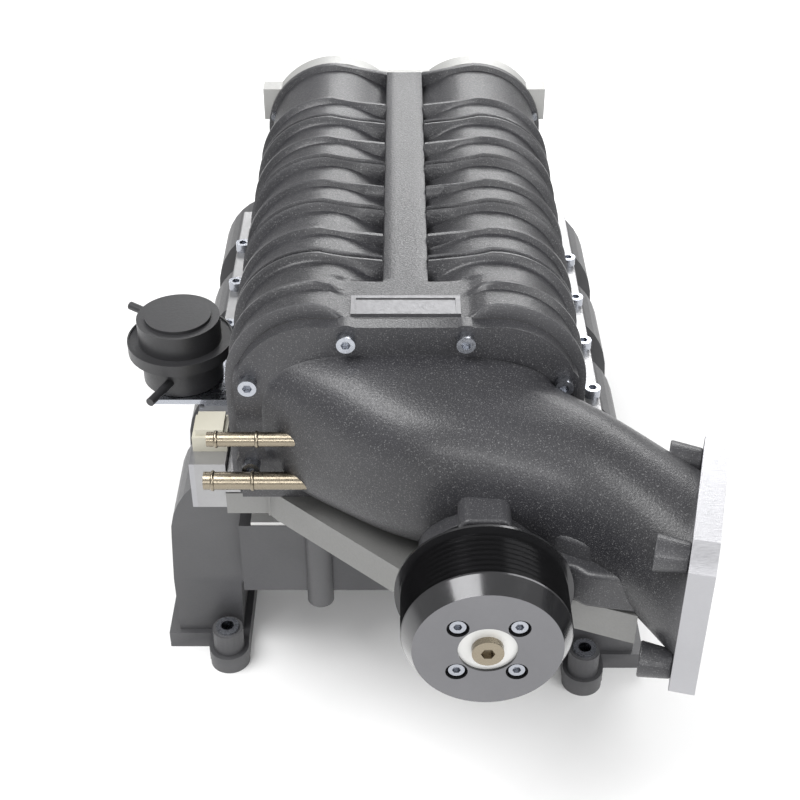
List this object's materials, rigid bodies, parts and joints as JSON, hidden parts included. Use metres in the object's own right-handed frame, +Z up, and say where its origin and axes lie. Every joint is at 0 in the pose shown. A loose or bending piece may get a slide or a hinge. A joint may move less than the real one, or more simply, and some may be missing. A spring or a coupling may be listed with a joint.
{
  "type": "supercharger",
  "caption": "Twin-rotor supercharger on an intake manifold, with ribbed rotor housing, side inlet elbow, grooved drive pulley and a vacuum-worked bypass valve.",
  "frame": {"origin": "centre of the bounding box, on the plane of the port flange faces", "axes": "+Z up, +Y to the rear along the rotors, +X to the throttle side"},
  "size_m": [0.3408, 0.5745, 0.305],
  "materials": {
    "black_casting": "textured black powder coat",
    "badge_metal": "engraved plate, blank",
    "gasket": "matt",
    "zinc_steel": "bright zinc plate",
    "raw_casting": "raw cast",
    "deck_aluminium": "fine matt",
    "grey_casting": "satin dark grey",
    "machined_aluminium": "machined",
    "inner_aluminium": "machined",
    "bearing_steel": "ground",
    "seal_brown": "matt",
    "rotor_coat": "abradable coating",
    "shaft_steel": "ground",
    "gear_steel": "ground",
    "hub_nickel": "turned",
    "bolt_nickel": "nickel plate",
    "black_anodised": "black anodised, satin face",
    "core_fins": "brazed fins",
    "barb_nickel": "nickel plate",
    "brass_plate": "satin",
    "cream_plastic": "satin",
    "black_plastic": "satin",
    "spring_steel": "bright"
  },
  "bodies": {
    "housing": {"rotor_housing": "black_casting", "inlet_elbow": "black_casting", "badge_plate": "badge_metal", "housing_gasket": "gasket", "front_gasket": "gasket", "port_seals": "gasket", "housing_screws": "zinc_steel", "rear_cover_screws": "zinc_steel", "front_flange_screws": "zinc_steel", "bypass_cover_screw": "zinc_steel", "foot_bushings": "zinc_steel", "rear_cover": "raw_casting", "deck_plate": "deck_aluminium", "manifold": "grey_casting", "coolant_cover": "machined_aluminium", "throttle_flange": "machined_aluminium", "front_bearing_plate": "inner_aluminium", "rear_bearing_plate": "inner_aluminium", "drive_gear_case": "inner_aluminium", "front_bearing_outer_rings": "bearing_steel", "rear_bearing_outer_rings": "bearing_steel", "snout_bearing_outer_rings": "bearing_steel", "rotor_seals": "seal_brown", "snout_seal": "seal_brown", "snout_housing": "black_casting", "intercooler_core_left": "core_fins", "intercooler_core_right": "core_fins", "hose_barb_upper": "barb_nickel", "hose_barb_lower": "barb_nickel", "bypass_housing": "machined_aluminium", "bypass_cover": "machined_aluminium", "pressure_sensor": "cream_plastic", "actuator_bracket": "zinc_steel", "actuator_body": "black_plastic", "actuator_cap": "black_plastic", "actuator_crimp_ring": "black_plastic", "actuator_spring": "spring_steel"},
    "input_shaft": {"input_shaft": "shaft_steel", "snout_bearing_inner_rings": "bearing_steel", "step_gear_lower": "gear_steel", "pulley_hub": "hub_nickel", "pulley": "black_anodised", "pulley_screws": "zinc_steel", "hub_bolt": "bolt_nickel"},
    "drive_rotor": {"drive_rotor": "rotor_coat", "drive_rotor_shaft": "shaft_steel", "drive_rotor_inner_rings": "bearing_steel", "drive_timing_gear": "gear_steel", "step_gear_upper": "gear_steel"},
    "driven_rotor": {"driven_rotor": "rotor_coat", "driven_rotor_shaft": "shaft_steel", "driven_rotor_inner_rings": "bearing_steel", "driven_timing_gear": "gear_steel"},
    "bypass_valve": {"bypass_lever_shaft": "zinc_steel", "bypass_plate": "brass_plate"},
    "actuator_rod": {"actuator_rod": "shaft_steel"}
  },
  "joints": [
    {"name": "input_spin", "type": "hinge", "parent": "housing", "child": "input_shaft", "pos_m": [0.04, -0.2, 0.193], "axis": [0, 1, 0], "continuous": true},
    {"name": "drive_rotor_spin", "type": "hinge", "parent": "housing", "child": "drive_rotor", "pos_m": [0.04, 0, 0.243], "axis": [0, 1, 0], "continuous": true},
    {"name": "driven_rotor_spin", "type": "hinge", "parent": "housing", "child": "driven_rotor", "pos_m": [-0.04, 0, 0.243], "axis": [0, 1, 0], "continuous": true},
    {"name": "bypass_valve_turn", "type": "hinge", "parent": "housing", "child": "bypass_valve", "pos_m": [-0.1123, -0.104, 0.176], "axis": [0, -1, 0], "range_deg": [0, 64.46]},
    {"name": "actuator_rod_slide", "type": "slide", "parent": "housing", "child": "actuator_rod", "axis": [0, 0, -1], "range_m": [0, 0.016], "deforming": ["actuator_spring"]}
  ],
  "couplings": [
    {"joint": "input_spin", "follows": "drive_rotor_spin", "ratio": -1},
    {"joint": "driven_rotor_spin", "follows": "drive_rotor_spin", "ratio": -1},
    {"joint": "bypass_valve_turn", "follows": "actuator_rod_slide", "rad_per_m": 70.317}
  ]
}
